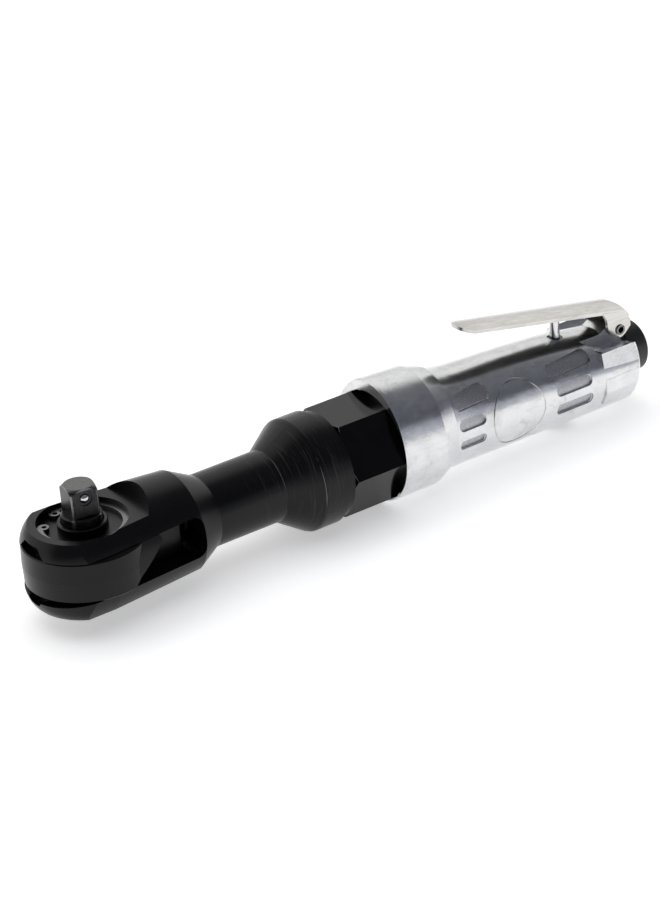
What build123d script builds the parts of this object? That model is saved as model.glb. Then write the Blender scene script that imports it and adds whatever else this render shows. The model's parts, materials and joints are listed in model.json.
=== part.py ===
from build123d import *
from math import acos, cos, pi, radians, sin, tan
import os

# Air ratchet, 3/8 inch square drive.  Millimetres.
# Origin: centre of the square's shoulder.  +Z leads out of the square, +X to the air inlet.
# Heights in this script are measured from the tool axis, which lies AXIS_DROP below the origin.

os.makedirs("parts", exist_ok=True)

# ---- fits ---------------------------------------------------------------------
RUN_FIT = 0.05          # radial clearance of a turning fit
GAP = 0.2               # clearance between faces that move past each other

# ---- square drive and head ----------------------------------------------------
AXIS_DROP = 16.5        # shoulder of the square above the tool axis
SQUARE = 9.53           # across flats, 3/8 inch drive
SQUARE_TALL = 10.0
SQUARE_TURN = -8.0      # degrees about the drive axis at rest
SHANK_R = 6.8
HEAD_R = 20.25          # turned radius of the head over the drive axis
HEAD_END_X = 34.7
HEAD_END_R = 17.6
NOSE_R = 21.2           # rounded nose, about the drive axis
NOSE_TOP_R = 17.9
NOSE_BOTTOM_R = 18.6
TOP_FLAT = 13.8
BOTTOM_FLAT = -13.0
SCALLOP_R = 21.4        # plan radius of the milled top flat
RECESS_R = 15.06
RECESS_FLOOR = 9.6
NOTCH_X = 17.3          # depth of the nose notches, from the drive axis
SLOT_TOP = 8.3
SLOT_BOTTOM = -5.9
SLOT_END_X = 34.9
SLOT_CORNER_R = 3.4
ANVIL_R = 11.6
ANVIL_BOTTOM = -4.6
JOURNAL_R = 9.6
HUB_TOP = 13.6
CLIP_BOTTOM = 10.8
CLIP_TOP = 12.05
CLIP_GROOVE_R = 15.8
CLIP_INNER_R = 12.9
CLIP_LUG_ANGLES = (105, 149)
BALL_R = 1.6            # detent ball
BALL_OUT = 4.05         # ball centre from the drive axis
DETENT_Z = 6.5

# ---- pawl and reverse knob ----------------------------------------------------
PAWL_BOTTOM = -2.9
PAWL_TOP = 5.1
PAWL_PIN_X = 6.8
PAWL_PIN_R = 2.0
PAWL_PIN_BOTTOM = -4.4
PAWL_PIN_TOP = 8.4
PAWL_TILT = 4.0         # degrees, in the forward position
SLOT_FACE_X = 1.6
KNOB_REST = 22.0        # degrees, in the forward position
KNOB_R = 8.8
KNOB_BOTTOM = -16.9
KNOB_BOSS_R = 6.0
BOSS_TOP = -10.6
KNOB_STEM_R = 3.4
STEM_TOP = 6.4
KNOB_CLIP_BOTTOM = -8.6
KNOB_CLIP_TOP = -7.8
KNOB_CLIP_R = 4.2
PLUNGER_R = 1.1
PLUNGER_TIP = 3.85

# ---- neck and bell ------------------------------------------------------------
NECK_R = 12.7
NECK_X = 44.0
NECK_END_X = 70.0
BELL_X = 81.0
BELL_R = 20.0
BELL_END_X = 90.3
GROOVE_R = 18.9
NUT_X = 93.5
SPIGOT_R = 15.8
SPIGOT_END_X = 103.3
BEARING_X = 38.5        # seat of the needle bearing
BEARING_END_X = 64.0
BEARING_SEAT_R = 8.0
SHELL_R = 7.2
SHELL_LIP_R = 6.2
CARRIER_X = 81.4        # chamber for the planet carrier
CARRIER_CHAMBER_R = 11.3
RING_X = 91.6           # seat of the ring gear
RING_SEAT_R = 13.5

# ---- yoke and crank -----------------------------------------------------------
YOKE_TEETH = 60
YOKE_TIP_R = 12.9
YOKE_ROOT_R = 13.9
YOKE_TOP = SLOT_TOP - GAP
YOKE_BOTTOM = SLOT_BOTTOM + GAP
THROW = 1.8             # crank eccentricity
CRANK_PIN_R = 2.3
CRANK_SHAFT_R = 5.9
ROLLER_R = 3.8          # crank bushing outside radius
CRANK_X = 31.0          # rear end of the yoke's tail
CRANK_PIN_X = 23.8
RING_R = 21.0           # round outside of the yoke
RING_CORE_R = 16.0
SHOULDER_X = 18.5
TAIL_HALF = 9.3
TAIL_SLOT_X = 22.4
TAIL_SLOT_HALF = 7.6
SHAFT_X = 34.2
FLANGE_X = 82.9
FLANGE_END_X = 90.4
FLANGE_R = 10.6

# ---- planetary gears ----------------------------------------------------------
MODULE = 0.8
SUN_TEETH = 9
PLANET_TEETH = 9
RING_TEETH = SUN_TEETH + 2 * PLANET_TEETH
PRESSURE_ANGLE = radians(25)
BACKLASH = 0.14
PLANET_ORBIT_R = MODULE * (SUN_TEETH + PLANET_TEETH) / 2
PLANET_PIN_R = 1.5
GEAR_X = 92.6
GEAR_END_X = 102.6
PLANET_ANGLES = [90, 210, 330]

# ---- motor --------------------------------------------------------------------
MOTOR_R = 14.0
PLATE_X = 105.6
CYLINDER_X = 113.0
CYLINDER_END_X = 147.0
PLATE_END_X = 153.0
ROTOR_R = 10.0
CYLINDER_BORE_R = 11.3
CYLINDER_OFFSET = 1.2
VANES = 5
VANE_THICK = 1.5
VANE_DEEP = 4.2
ROTOR_FRONT_R = 4.3
ROTOR_REAR_R = 3.0
FRONT_POCKET_R = 8.0
REAR_POCKET_R = 7.0
DOWEL_R = 1.0
DOWEL_H = -12.2

# ---- clamp nut ----------------------------------------------------------------
NUT_FLATS = 34.0
NUT_END_X = 117.0
NUT_THREAD_R = 16.6
NUT_THREAD_END_X = 123.4

# ---- grip ---------------------------------------------------------------------
GRIP_X = 113.9
GRIP_END_X = 222.4
LIP_R = 20.5
LIP_CROWN = 23.9        # the bell stands higher over the axis than it is wide
BELL_LOFT_X = 131.2     # end of the plain round part behind the lip
HANDLE_X = 138.0
LIP_BORE_R = 19.95
LIP_DEEP = 3.5
TAIL_ROUND = 6.0
# Flank slots: from x, to x, lower edge, upper edge.
FLANK_SLOTS = (
    (139.0, 154.8, 8.9, 14.2),
    (139.0, 150.6, 1.9, 6.0),
    (139.0, 150.2, -4.9, -1.4),
    (180.3, 200.4, 7.7, 11.6),
    (182.0, 198.0, 0.7, 4.9),
    (182.0, 198.4, -6.6, -2.3),
)
SLOT_ROUND = 0.45       # corner radius as a share of a slot's height
SLOT_DEEP = 0.9
DISC_X = 165.0
DISC_H = 0.3
DISC_R = 11.7
DISC_LINE = 0.6         # width and depth of the groove round the disc
DISC_DEEP = 0.35
PAD_X = 204.2           # flat pads on both sides of the tail
PAD_HALF = 17.6
PAD_HIGH = 9.5
PAD_HIGH_HALF = 15.2
SCOOP_X = 201.2
SCOOP_FLOOR = 6.3

# ---- throttle valve -----------------------------------------------------------
VALVE_X = 195.6
STEM_R = 1.85
STEM_END = 22.7         # top of the stem, just under the lever
SEAT_H = 5.0
VALVE_TOP = 4.9
CHAMBER_R = 4.2
SEAT_R = 2.5
BUSHING_R = 2.8
BUSHING_BOTTOM = 7.0
BUSHING_TOP = 13.6
PLUG_R = 4.9
PLUG_TOP = -9.0
PLUG_BOTTOM = -17.2

# ---- throttle lever -----------------------------------------------------------
LEVER_PIN_X = 220.3
LEVER_PIN_H = 11.0
LEVER_PIN_R = 1.9
RIB_R = 2.8             # boss of the rib round the pin
RIB_HALF = 5.0
LEVER_HALF = 6.5
LEVER_THICK = 1.3
LEVER_TIP_HALF = 5.7
LEVER_CROWN = 1.1
LEVER_BEND_X = 221.0
LEVER_BEND_H = 19.7
LEVER_TIP_X = 151.9
LEVER_TIP_H = 32.8
LEVER_CURL_R = 6.5
LEVER_CURL = 58.0       # degrees of curl over the rear end
EAR_R = 3.0

# ---- inlet and exhaust --------------------------------------------------------
TAIL_X = 231.4
INLET_X = 203.0
INLET_STEP_X = 216.0
INLET_PORT_R = 4.0
INLET_BODY_R = 7.4
INLET_BORE_R = 5.6      # minor radius of the 1/4 inch pipe thread
SCREEN_R = 5.0          # strainer disc, let into the step of the inlet bore
SCREEN_THICK = 0.6
INLET_FLANGE_R = 8.4
FLANGE_SEAT_X = 229.2
EXHAUST_Y = 8.4
EXHAUST_H = -4.6
DEFLECTOR_X = 222.7
DEFLECTOR_R = 9.5
MUFFLER_X = 226.8
MUFFLER_INNER_R = 8.1
MUFFLER_R = 8.75

TOOL_AXIS = Axis((0, 0, -AXIS_DROP), (1, 0, 0))
DRIVE_AXIS = Axis.Z
VALVE_AXIS = Axis((VALVE_X, 0, 0), (0, 0, 1))
CRANK_AXIS = Axis((0, 0, -AXIS_DROP + THROW), (1, 0, 0))


def level(height):
    """Horizontal plane at a height over the tool axis."""
    return Plane.XY.offset(height - AXIS_DROP)


def across(x, height=0.0, side=0.0):
    """Plane square to the tool axis: local x is +Y, local y is +Z."""
    return Plane(origin=(x, side, height - AXIS_DROP), x_dir=(0, 1, 0), z_dir=(1, 0, 0))


def lengthwise(y=0):
    """Upright plane along the tool: local x is +X, local y is +Z, facing -Y."""
    return Plane(origin=(0, y, -AXIS_DROP), x_dir=(1, 0, 0), z_dir=(0, -1, 0))


def outline(*points):
    """Closed straight-sided sketch on the lengthwise plane, from (x, height) points."""
    with BuildSketch(lengthwise()) as sketch:
        with BuildLine():
            Polyline(*points, close=True)
        make_face()
    return sketch.sketch


def ring_section(x_from, x_to, inner, outer):
    """Half section of a plain ring or disc about the tool axis."""
    return outline((x_from, inner), (x_to, inner), (x_to, outer), (x_from, outer))


def upright_section(bottom, top, inner, outer, x=0):
    """Half section of a plain ring or disc about an upright axis at x."""
    return outline((x + inner, bottom), (x + outer, bottom), (x + outer, top), (x + inner, top))


def polar(radius, angle):
    """Point at a radius and an angle in radians."""
    return (radius * cos(angle), radius * sin(angle))


def involute(angle):
    return tan(angle) - angle


def tooth_half_angle(teeth, radius, thickness):
    """Half the angle that a tooth covers at a radius, for its thickness on the pitch circle."""
    pitch_r = MODULE * teeth / 2
    base_r = pitch_r * cos(PRESSURE_ANGLE)
    flank = acos(min(1.0, base_r / max(radius, base_r)))
    return thickness / (2 * pitch_r) + involute(PRESSURE_ANGLE) - involute(flank)


def gear_points(teeth, root_r, tip_r, thickness, start):
    """Outline points of a spur gear; a tooth's centre points along the start angle."""
    flank_steps = 4
    points = []
    for tooth in range(teeth):
        centre = start + 2 * pi * tooth / teeth
        radii = [root_r + (tip_r - root_r) * step / flank_steps for step in range(flank_steps + 1)]
        for radius in radii:
            points.append(polar(radius, centre - tooth_half_angle(teeth, radius, thickness)))
        for radius in reversed(radii):
            points.append(polar(radius, centre + tooth_half_angle(teeth, radius, thickness)))
    return points


# Everything that lies behind the drive axis, or inside the round nose in front of it.
with BuildPart() as plan_limit:
    with BuildSketch(lengthwise()):
        with BuildLine():
            Polyline((NOSE_TOP_R, TOP_FLAT), (NOSE_TOP_R - 1, TOP_FLAT + 1), (0, TOP_FLAT + 1),
                     (0, BOTTOM_FLAT - 1), (NOSE_BOTTOM_R - 1, BOTTOM_FLAT - 1), (NOSE_BOTTOM_R, BOTTOM_FLAT))
            Spline((NOSE_BOTTOM_R, BOTTOM_FLAT), (NOSE_R - 0.8, -10.2), (NOSE_R - 0.1, -6.5), (NOSE_R, -2.0),
                   (NOSE_R, 2.0), (NOSE_R - 0.3, 8.0), (NOSE_R - 1.4, 11.3), (NOSE_TOP_R, TOP_FLAT))
        make_face()
    revolve(axis=DRIVE_AXIS)
    with Locations((SPIGOT_END_X / 2 + 1, 0, -AXIS_DROP)):
        Box(SPIGOT_END_X + 2, 60, 60)

# ---- ratchet housing ----------------------------------------------------------
with BuildPart() as ratchet_housing:
    # turned body with its bell, relief groove and threaded spigot
    revolve(
        outline(
            (-NOSE_R - 1, 0), (-NOSE_R - 1, HEAD_R), (0, HEAD_R), (HEAD_END_X, HEAD_END_R),
            (NECK_X, NECK_R), (NECK_END_X, NECK_R), (BELL_X - 0.5, BELL_R - 0.4), (BELL_X + 0.4, BELL_R),
            (BELL_END_X - 0.3, BELL_R), (BELL_END_X, BELL_R - 0.3), (BELL_END_X, GROOVE_R),
            (NUT_X - GAP, GROOVE_R), (NUT_X - GAP, SPIGOT_R), (SPIGOT_END_X, SPIGOT_R), (SPIGOT_END_X, 0),
        ),
        axis=TOOL_AXIS,
    )
    add(plan_limit.part, mode=Mode.INTERSECT)
    # milled top flat with its round wall, and the flat underside
    with BuildSketch(level(TOP_FLAT)):
        Circle(SCALLOP_R)
    extrude(amount=HEAD_R, mode=Mode.SUBTRACT)
    with BuildSketch(level(BOTTOM_FLAT)):
        with Locations(((HEAD_END_X - NOSE_R) / 2, 0)):
            Rectangle(HEAD_END_X + NOSE_R + 3, 60)
    extrude(amount=-HEAD_R, mode=Mode.SUBTRACT)
    # recess for the bushing, with the circlip's groove
    with BuildSketch(level(TOP_FLAT)):
        Circle(RECESS_R)
    extrude(amount=RECESS_FLOOR - TOP_FLAT, mode=Mode.SUBTRACT)
    revolve(upright_section(CLIP_BOTTOM - 0.05, CLIP_TOP + 0.05, 0, CLIP_GROOVE_R), axis=DRIVE_AXIS,
            mode=Mode.SUBTRACT)
    # anvil bores in both arms
    with BuildSketch(level(RECESS_FLOOR)):
        Circle(ANVIL_R + RUN_FIT)
    extrude(amount=SLOT_TOP - RECESS_FLOOR - 1, mode=Mode.SUBTRACT)
    with BuildSketch(level(BOTTOM_FLAT - 1)):
        Circle(JOURNAL_R + RUN_FIT)
    extrude(amount=SLOT_BOTTOM - BOTTOM_FLAT + 2, mode=Mode.SUBTRACT)
    # fork slot, right through from side to side
    with BuildSketch(lengthwise()):
        with Locations(((SLOT_END_X - 40) / 2, (SLOT_TOP + SLOT_BOTTOM) / 2)):
            RectangleRounded(SLOT_END_X + 40, SLOT_TOP - SLOT_BOTTOM, SLOT_CORNER_R)
    extrude(amount=30, both=True, mode=Mode.SUBTRACT)
    # clearance notches in the nose of both arms
    for edge, rise, wide, narrow in ((SLOT_TOP - 0.5, 3.9, 7.9, 4.0), (SLOT_BOTTOM + 0.5, -4.2, 6.4, 2.4)):
        with BuildSketch(across(-NOSE_R - 1)):
            with BuildLine():
                Polyline((-wide, edge), (-narrow, edge + rise), (narrow, edge + rise), (wide, edge), close=True)
            make_face()
        extrude(amount=NOSE_R + 1 - NOTCH_X, mode=Mode.SUBTRACT)
    # the lower arm's face falls away towards the nose
    with BuildSketch(lengthwise()):
        with BuildLine():
            Polyline((-8, SLOT_BOTTOM + 0.1), (-22, SLOT_BOTTOM + 0.1), (-22, SLOT_BOTTOM - 2.4), close=True)
        make_face()
    extrude(amount=30, both=True, mode=Mode.SUBTRACT)
    # crankshaft bore, bearing seat, carrier chamber and ring gear seat
    for x_from, x_to, radius in (
        (SLOT_END_X - 1, BEARING_X, CRANK_SHAFT_R + 0.3),
        (BEARING_X, CARRIER_X, BEARING_SEAT_R),
        (CARRIER_X, RING_X, CARRIER_CHAMBER_R),
        (RING_X, SPIGOT_END_X + 1, RING_SEAT_R),
    ):
        revolve(ring_section(x_from, x_to, 0, radius), axis=TOOL_AXIS, mode=Mode.SUBTRACT)
    ratchet_housing.part.label = "ratchet_housing"
export_step(ratchet_housing.part, "parts/ratchet_housing.step")

# ---- yoke ---------------------------------------------------------------------
with BuildPart() as yoke:
    # shoulders flush with the turned head
    revolve(
        outline(
            (0, 0), (0, HEAD_R - GAP), (HEAD_END_X, HEAD_END_R - GAP), (HEAD_END_X, 0),
        ),
        axis=TOOL_AXIS,
    )
    # round outside with a lightly bevelled rim
    revolve(
        outline(
            (0, YOKE_BOTTOM), (RING_R - 0.6, YOKE_BOTTOM), (RING_R - 0.2, YOKE_BOTTOM + 0.4), (RING_R, 1),
            (RING_R - 0.3, YOKE_TOP - 0.4), (RING_R - 0.7, YOKE_TOP), (0, YOKE_TOP),
        ),
        axis=DRIVE_AXIS,
    )
    # the shoulders end in a slanted cut
    with BuildSketch(lengthwise()) as side_view:
        with BuildLine():
            Polyline((-30, YOKE_BOTTOM), (5.5, YOKE_BOTTOM), (SHOULDER_X, 6.0), (SHOULDER_X, YOKE_TOP),
                     (-30, YOKE_TOP), close=True)
        make_face()
        fillet(side_view.vertices().sort_by(Axis.X)[-2:], 1.2)
    extrude(amount=30, both=True, mode=Mode.INTERSECT)
    # wall round the teeth, and the forked tail
    with BuildSketch(level(YOKE_BOTTOM)) as plan_view:
        Circle(RING_CORE_R)
        with Locations((CRANK_X / 2, 0)):
            Rectangle(CRANK_X, 2 * TAIL_HALF)
        fillet(plan_view.vertices().sort_by(Axis.X)[-2:], 1.2)
    extrude(amount=YOKE_TOP - YOKE_BOTTOM)
    # internal teeth
    with BuildSketch(level(YOKE_BOTTOM - 1)):
        with BuildLine():
            tooth_points = []
            for tooth in range(YOKE_TEETH):
                angle = 2 * pi * tooth / YOKE_TEETH
                tooth_points.append(polar(YOKE_TIP_R, angle - 0.15 * 2 * pi / YOKE_TEETH))
                tooth_points.append(polar(YOKE_TIP_R, angle + 0.15 * 2 * pi / YOKE_TEETH))
                tooth_points.append(polar(YOKE_ROOT_R, angle + 0.5 * 2 * pi / YOKE_TEETH))
            Polyline(*tooth_points, close=True)
        make_face()
    extrude(amount=YOKE_TOP - YOKE_BOTTOM + 2, mode=Mode.SUBTRACT)
    # tail slot for the crank bushing
    with BuildSketch(level(YOKE_BOTTOM - 1)):
        with Locations((CRANK_X, 0)):
            RectangleRounded(2 * (CRANK_X - TAIL_SLOT_X), 2 * TAIL_SLOT_HALF, 2.5)
    extrude(amount=YOKE_TOP - YOKE_BOTTOM + 2, mode=Mode.SUBTRACT)
    yoke.part.label = "yoke"
export_step(yoke.part, "parts/yoke.step")

# ---- anvil with the square drive ----------------------------------------------
square_direction = (sin(radians(SQUARE_TURN)), -cos(radians(SQUARE_TURN)), 0)
detent_plane = Plane(origin=(0, 0, DETENT_Z), x_dir=(0, 0, 1), z_dir=square_direction)

with BuildPart() as anvil:
    # square, turned down at the top
    with BuildSketch(Plane.XY.offset(-1)):
        Rectangle(SQUARE, SQUARE, rotation=SQUARE_TURN)
    extrude(amount=SQUARE_TALL + 1)
    chamfer(anvil.edges().filter_by(Axis.Z), 0.35)
    revolve(
        outline(
            (0, 0), (6.55, 0), (6.55, AXIS_DROP + SQUARE_TALL - 1.7),
            (5.0, AXIS_DROP + SQUARE_TALL - 0.15), (4.7, AXIS_DROP + SQUARE_TALL),
            (0, AXIS_DROP + SQUARE_TALL),
        ),
        axis=DRIVE_AXIS,
        mode=Mode.INTERSECT,
    )
    # shank, body and lower journal
    revolve(
        outline(
            (0, BOTTOM_FLAT + GAP), (JOURNAL_R, BOTTOM_FLAT + GAP), (JOURNAL_R, ANVIL_BOTTOM),
            (ANVIL_R, ANVIL_BOTTOM), (ANVIL_R, RECESS_FLOOR - GAP), (SHANK_R, RECESS_FLOOR - GAP),
            (SHANK_R, AXIS_DROP - 0.5), (SHANK_R - 0.5, AXIS_DROP), (0, AXIS_DROP),
        ),
        axis=DRIVE_AXIS,
    )
    # pawl slot, open to one side
    with BuildSketch(level(PAWL_BOTTOM - GAP / 2)):
        with Locations((-SLOT_FACE_X - 10, 0)):
            Rectangle(20, 30)
    extrude(amount=PAWL_TOP - PAWL_BOTTOM + GAP, mode=Mode.SUBTRACT)
    # pawl pin hole
    with BuildSketch(level(PAWL_PIN_BOTTOM)):
        with Locations((-PAWL_PIN_X, 0)):
            Circle(PAWL_PIN_R)
    extrude(amount=PAWL_PIN_TOP - PAWL_PIN_BOTTOM, mode=Mode.SUBTRACT)
    # bore for the reverse knob's stem, with the clip's groove and the boss's counterbore
    for bottom, top, radius in (
        (BOTTOM_FLAT - 1, STEM_TOP + GAP, KNOB_STEM_R + RUN_FIT),
        (BOTTOM_FLAT - 1, BOSS_TOP + GAP, KNOB_BOSS_R + RUN_FIT),
        (KNOB_CLIP_BOTTOM - GAP, KNOB_CLIP_TOP + GAP, KNOB_CLIP_R + GAP),
    ):
        revolve(upright_section(bottom, top, 0, radius), axis=DRIVE_AXIS, mode=Mode.SUBTRACT)
    # detent hole in the square, with its staked rim
    with BuildSketch(detent_plane):
        Circle(BALL_R + RUN_FIT)
    extrude(amount=SQUARE, mode=Mode.SUBTRACT)
    with BuildSketch(detent_plane.offset(SQUARE / 2 - 0.35)):
        Circle(BALL_R + 1.0)
    extrude(amount=2, mode=Mode.SUBTRACT)
    anvil.part.label = "anvil"
export_step(anvil.part, "parts/anvil.step")

with BuildPart() as anvil_bushing:
    revolve(
        outline(
            (SHANK_R + RUN_FIT, RECESS_FLOOR), (RECESS_R - 0.1, RECESS_FLOOR), (RECESS_R - 0.1, CLIP_BOTTOM - 0.1),
            (8.3, CLIP_BOTTOM - 0.1), (8.3, HUB_TOP - 0.3), (8.0, HUB_TOP), (7.15, HUB_TOP),
            (SHANK_R + RUN_FIT, HUB_TOP - 0.5),
        ),
        axis=DRIVE_AXIS,
    )
    anvil_bushing.part.label = "anvil_bushing"
export_step(anvil_bushing.part, "parts/anvil_bushing.step")

with BuildPart() as retaining_ring:
    with BuildSketch(level(CLIP_BOTTOM)):
        Circle(CLIP_GROOVE_R - 0.1)
        Circle(CLIP_INNER_R, mode=Mode.SUBTRACT)
        # open between the two eyelets
        with BuildLine():
            Polyline(
                (0, 0), polar(24, radians(CLIP_LUG_ANGLES[0])), polar(24, radians(sum(CLIP_LUG_ANGLES) / 2)),
                polar(24, radians(CLIP_LUG_ANGLES[1])), close=True,
            )
        make_face(mode=Mode.SUBTRACT)
        for angle in CLIP_LUG_ANGLES:
            with Locations(polar(12.7, radians(angle))):
                Circle(1.9)
        for angle in CLIP_LUG_ANGLES:
            with Locations(polar(12.4, radians(angle))):
                Circle(0.85, mode=Mode.SUBTRACT)
    extrude(amount=CLIP_TOP - CLIP_BOTTOM)
    retaining_ring.part.label = "retaining_ring"
export_step(retaining_ring.part, "parts/retaining_ring.step")

with BuildPart() as thrust_washer:
    revolve(upright_section(SLOT_BOTTOM + 0.02, ANVIL_BOTTOM - 0.08, JOURNAL_R + 0.1, YOKE_TIP_R - 0.3),
            axis=DRIVE_AXIS)
    thrust_washer.part.label = "thrust_washer"
export_step(thrust_washer.part, "parts/thrust_washer.step")

# ---- pawl and reverse knob ----------------------------------------------------
pawl_plane = Plane(
    origin=(-PAWL_PIN_X, 0, PAWL_BOTTOM - AXIS_DROP),
    x_dir=(cos(radians(PAWL_TILT)), sin(radians(PAWL_TILT)), 0),
    z_dir=(0, 0, 1),
)
with BuildPart() as pawl:
    with BuildSketch(pawl_plane):
        with BuildLine():
            half = [(2.5, 0), (2.4, 3.0), (0.4, 8.4), (-2.6, 8.15), (-3.5, 7.1), (-2.4, 3.2), (-2.3, 0)]
            Polyline(*half)
            Polyline(*[(x, -y) for x, y in half])
        make_face()
        Circle(PAWL_PIN_R + RUN_FIT, mode=Mode.SUBTRACT)
    extrude(amount=PAWL_TOP - PAWL_BOTTOM)
    pawl.part.label = "pawl"
export_step(pawl.part, "parts/pawl.step")

with BuildPart() as pawl_pin:
    with BuildSketch(level(PAWL_PIN_BOTTOM)):
        with Locations((-PAWL_PIN_X, 0)):
            Circle(PAWL_PIN_R)
    extrude(amount=PAWL_PIN_TOP - PAWL_PIN_BOTTOM - 0.1)
    pawl_pin.part.label = "pawl_pin"
export_step(pawl_pin.part, "parts/pawl_pin.step")

knob_direction = (-cos(radians(KNOB_REST)), sin(radians(KNOB_REST)), 0)
plunger_plane = Plane(
    origin=(0, 0, (PAWL_BOTTOM + PAWL_TOP) / 2 - AXIS_DROP), x_dir=(0, 0, 1), z_dir=knob_direction
)
with BuildPart() as reverse_knob:
    revolve(
        outline(
            (0, KNOB_BOTTOM + 1.4), (KNOB_R - 0.4, KNOB_BOTTOM + 1.4), (KNOB_R, KNOB_BOTTOM + 1.8),
            (KNOB_R, BOTTOM_FLAT - 0.6), (KNOB_R - 0.4, BOTTOM_FLAT - GAP), (KNOB_BOSS_R, BOTTOM_FLAT - GAP),
            (KNOB_BOSS_R, BOSS_TOP), (KNOB_STEM_R, BOSS_TOP), (KNOB_STEM_R, KNOB_CLIP_BOTTOM),
            (KNOB_STEM_R - 0.6, KNOB_CLIP_BOTTOM), (KNOB_STEM_R - 0.6, KNOB_CLIP_TOP),
            (KNOB_STEM_R, KNOB_CLIP_TOP), (KNOB_STEM_R, STEM_TOP), (0, STEM_TOP),
        ),
        axis=DRIVE_AXIS,
    )
    # finger bar across the face
    with BuildSketch(level(KNOB_BOTTOM)):
        SlotOverall(2 * KNOB_R - 0.8, 4.6, rotation=-KNOB_REST)
    extrude(amount=2, taper=-8)
    # notches round the rim for grip
    with BuildSketch(level(KNOB_BOTTOM)):
        with PolarLocations(KNOB_R + 0.5, 24):
            Circle(0.9)
    extrude(amount=BOTTOM_FLAT - KNOB_BOTTOM, mode=Mode.SUBTRACT)
    # plunger hole
    with BuildSketch(plunger_plane.offset(-2.4)):
        Circle(PLUNGER_R + RUN_FIT)
    extrude(amount=8, mode=Mode.SUBTRACT)
    reverse_knob.part.label = "reverse_knob"
export_step(reverse_knob.part, "parts/reverse_knob.step")

with BuildPart() as knob_clip:
    with BuildSketch(level(KNOB_CLIP_BOTTOM + 0.05)):
        Circle(KNOB_CLIP_R)
        Circle(KNOB_STEM_R - 0.55, mode=Mode.SUBTRACT)
        with Locations((KNOB_CLIP_R, 0)):
            Rectangle(2 * KNOB_CLIP_R, 2.0, mode=Mode.SUBTRACT)
    extrude(amount=KNOB_CLIP_TOP - KNOB_CLIP_BOTTOM - 0.1)
    knob_clip.part.label = "knob_clip"
export_step(knob_clip.part, "parts/knob_clip.step")

with BuildPart() as pawl_plunger:
    with BuildSketch(plunger_plane.offset(0.6)):
        Circle(PLUNGER_R)
    extrude(amount=PLUNGER_TIP - 0.6)
    fillet(pawl_plunger.edges().sort_by(lambda edge: edge.distance_to((0, 0, edge.center().Z)))[-1], 0.7)
    pawl_plunger.part.label = "pawl_plunger"
export_step(pawl_plunger.part, "parts/pawl_plunger.step")


def coil_spring(label, wire_r, pitch, tall, radius, plane):
    """Compression spring: a round wire swept along a helix that starts on the plane."""
    with BuildPart() as spring:
        with BuildLine():
            coil = Helix(pitch=pitch, height=tall, radius=radius, center=plane.origin, direction=plane.z_dir)
        with BuildSketch(Plane(origin=coil @ 0, z_dir=coil % 0)):
            Circle(wire_r)
        sweep(path=coil, is_frenet=True)
        spring.part.label = label
    export_step(spring.part, f"parts/{label}.step")


coil_spring("pawl_spring", 0.16, 0.62, 2.4, 0.78, plunger_plane.offset(-2.0))

# ---- detent -------------------------------------------------------------------
with BuildPart() as detent_ball:
    with Locations(detent_plane.offset(BALL_OUT)):
        Sphere(BALL_R)
    detent_ball.part.label = "detent_ball"
export_step(detent_ball.part, "parts/detent_ball.step")

coil_spring("detent_spring", 0.2, 0.66, 1.3, 1.1, detent_plane.offset(0.35))

# ---- crankshaft and its bearing -----------------------------------------------
with BuildPart() as crankshaft:
    revolve(
        outline(
            (SHAFT_X, 0), (SHAFT_X, CRANK_SHAFT_R - 0.4), (SHAFT_X + 0.4, CRANK_SHAFT_R),
            (FLANGE_X, CRANK_SHAFT_R), (FLANGE_X, FLANGE_R), (FLANGE_END_X, FLANGE_R), (FLANGE_END_X, 0),
        ),
        axis=TOOL_AXIS,
    )
    # eccentric crank pin
    with BuildSketch(across(CRANK_PIN_X, THROW)):
        Circle(CRANK_PIN_R)
    extrude(amount=SHAFT_X - CRANK_PIN_X + 1)
    # planet pin holes
    with BuildSketch(across(FLANGE_X - 1)):
        for angle in PLANET_ANGLES:
            with Locations(polar(PLANET_ORBIT_R, radians(angle))):
                Circle(PLANET_PIN_R)
    extrude(amount=FLANGE_END_X - FLANGE_X + 2, mode=Mode.SUBTRACT)
    crankshaft.part.label = "crankshaft"
export_step(crankshaft.part, "parts/crankshaft.step")

with BuildPart() as crank_bushing:
    with BuildSketch(lengthwise()):
        with BuildLine():
            low, high = CRANK_PIN_R + RUN_FIT + THROW, ROLLER_R + THROW
            Polyline((CRANK_X - 0.2, high - 0.4), (CRANK_X - 0.2, low), (CRANK_PIN_X + 0.3, low),
                     (CRANK_PIN_X + 0.3, high - 0.4))
            ThreePointArc((CRANK_PIN_X + 0.3, high - 0.4), ((CRANK_PIN_X + CRANK_X) / 2, high),
                          (CRANK_X - 0.2, high - 0.4))
        make_face()
    revolve(axis=CRANK_AXIS)
    crank_bushing.part.label = "crank_bushing"
export_step(crank_bushing.part, "parts/crank_bushing.step")

with BuildPart() as needle_bearing_shell:
    revolve(
        outline(
            (BEARING_X + 1, BEARING_SEAT_R), (BEARING_X + 1, SHELL_LIP_R), (BEARING_X + 1.7, SHELL_LIP_R),
            (BEARING_X + 1.7, SHELL_R), (BEARING_END_X - 0.7, SHELL_R), (BEARING_END_X - 0.7, SHELL_LIP_R),
            (BEARING_END_X, SHELL_LIP_R), (BEARING_END_X, BEARING_SEAT_R),
        ),
        axis=TOOL_AXIS,
    )
    needle_bearing_shell.part.label = "needle_bearing_shell"
export_step(needle_bearing_shell.part, "parts/needle_bearing_shell.step")

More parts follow.
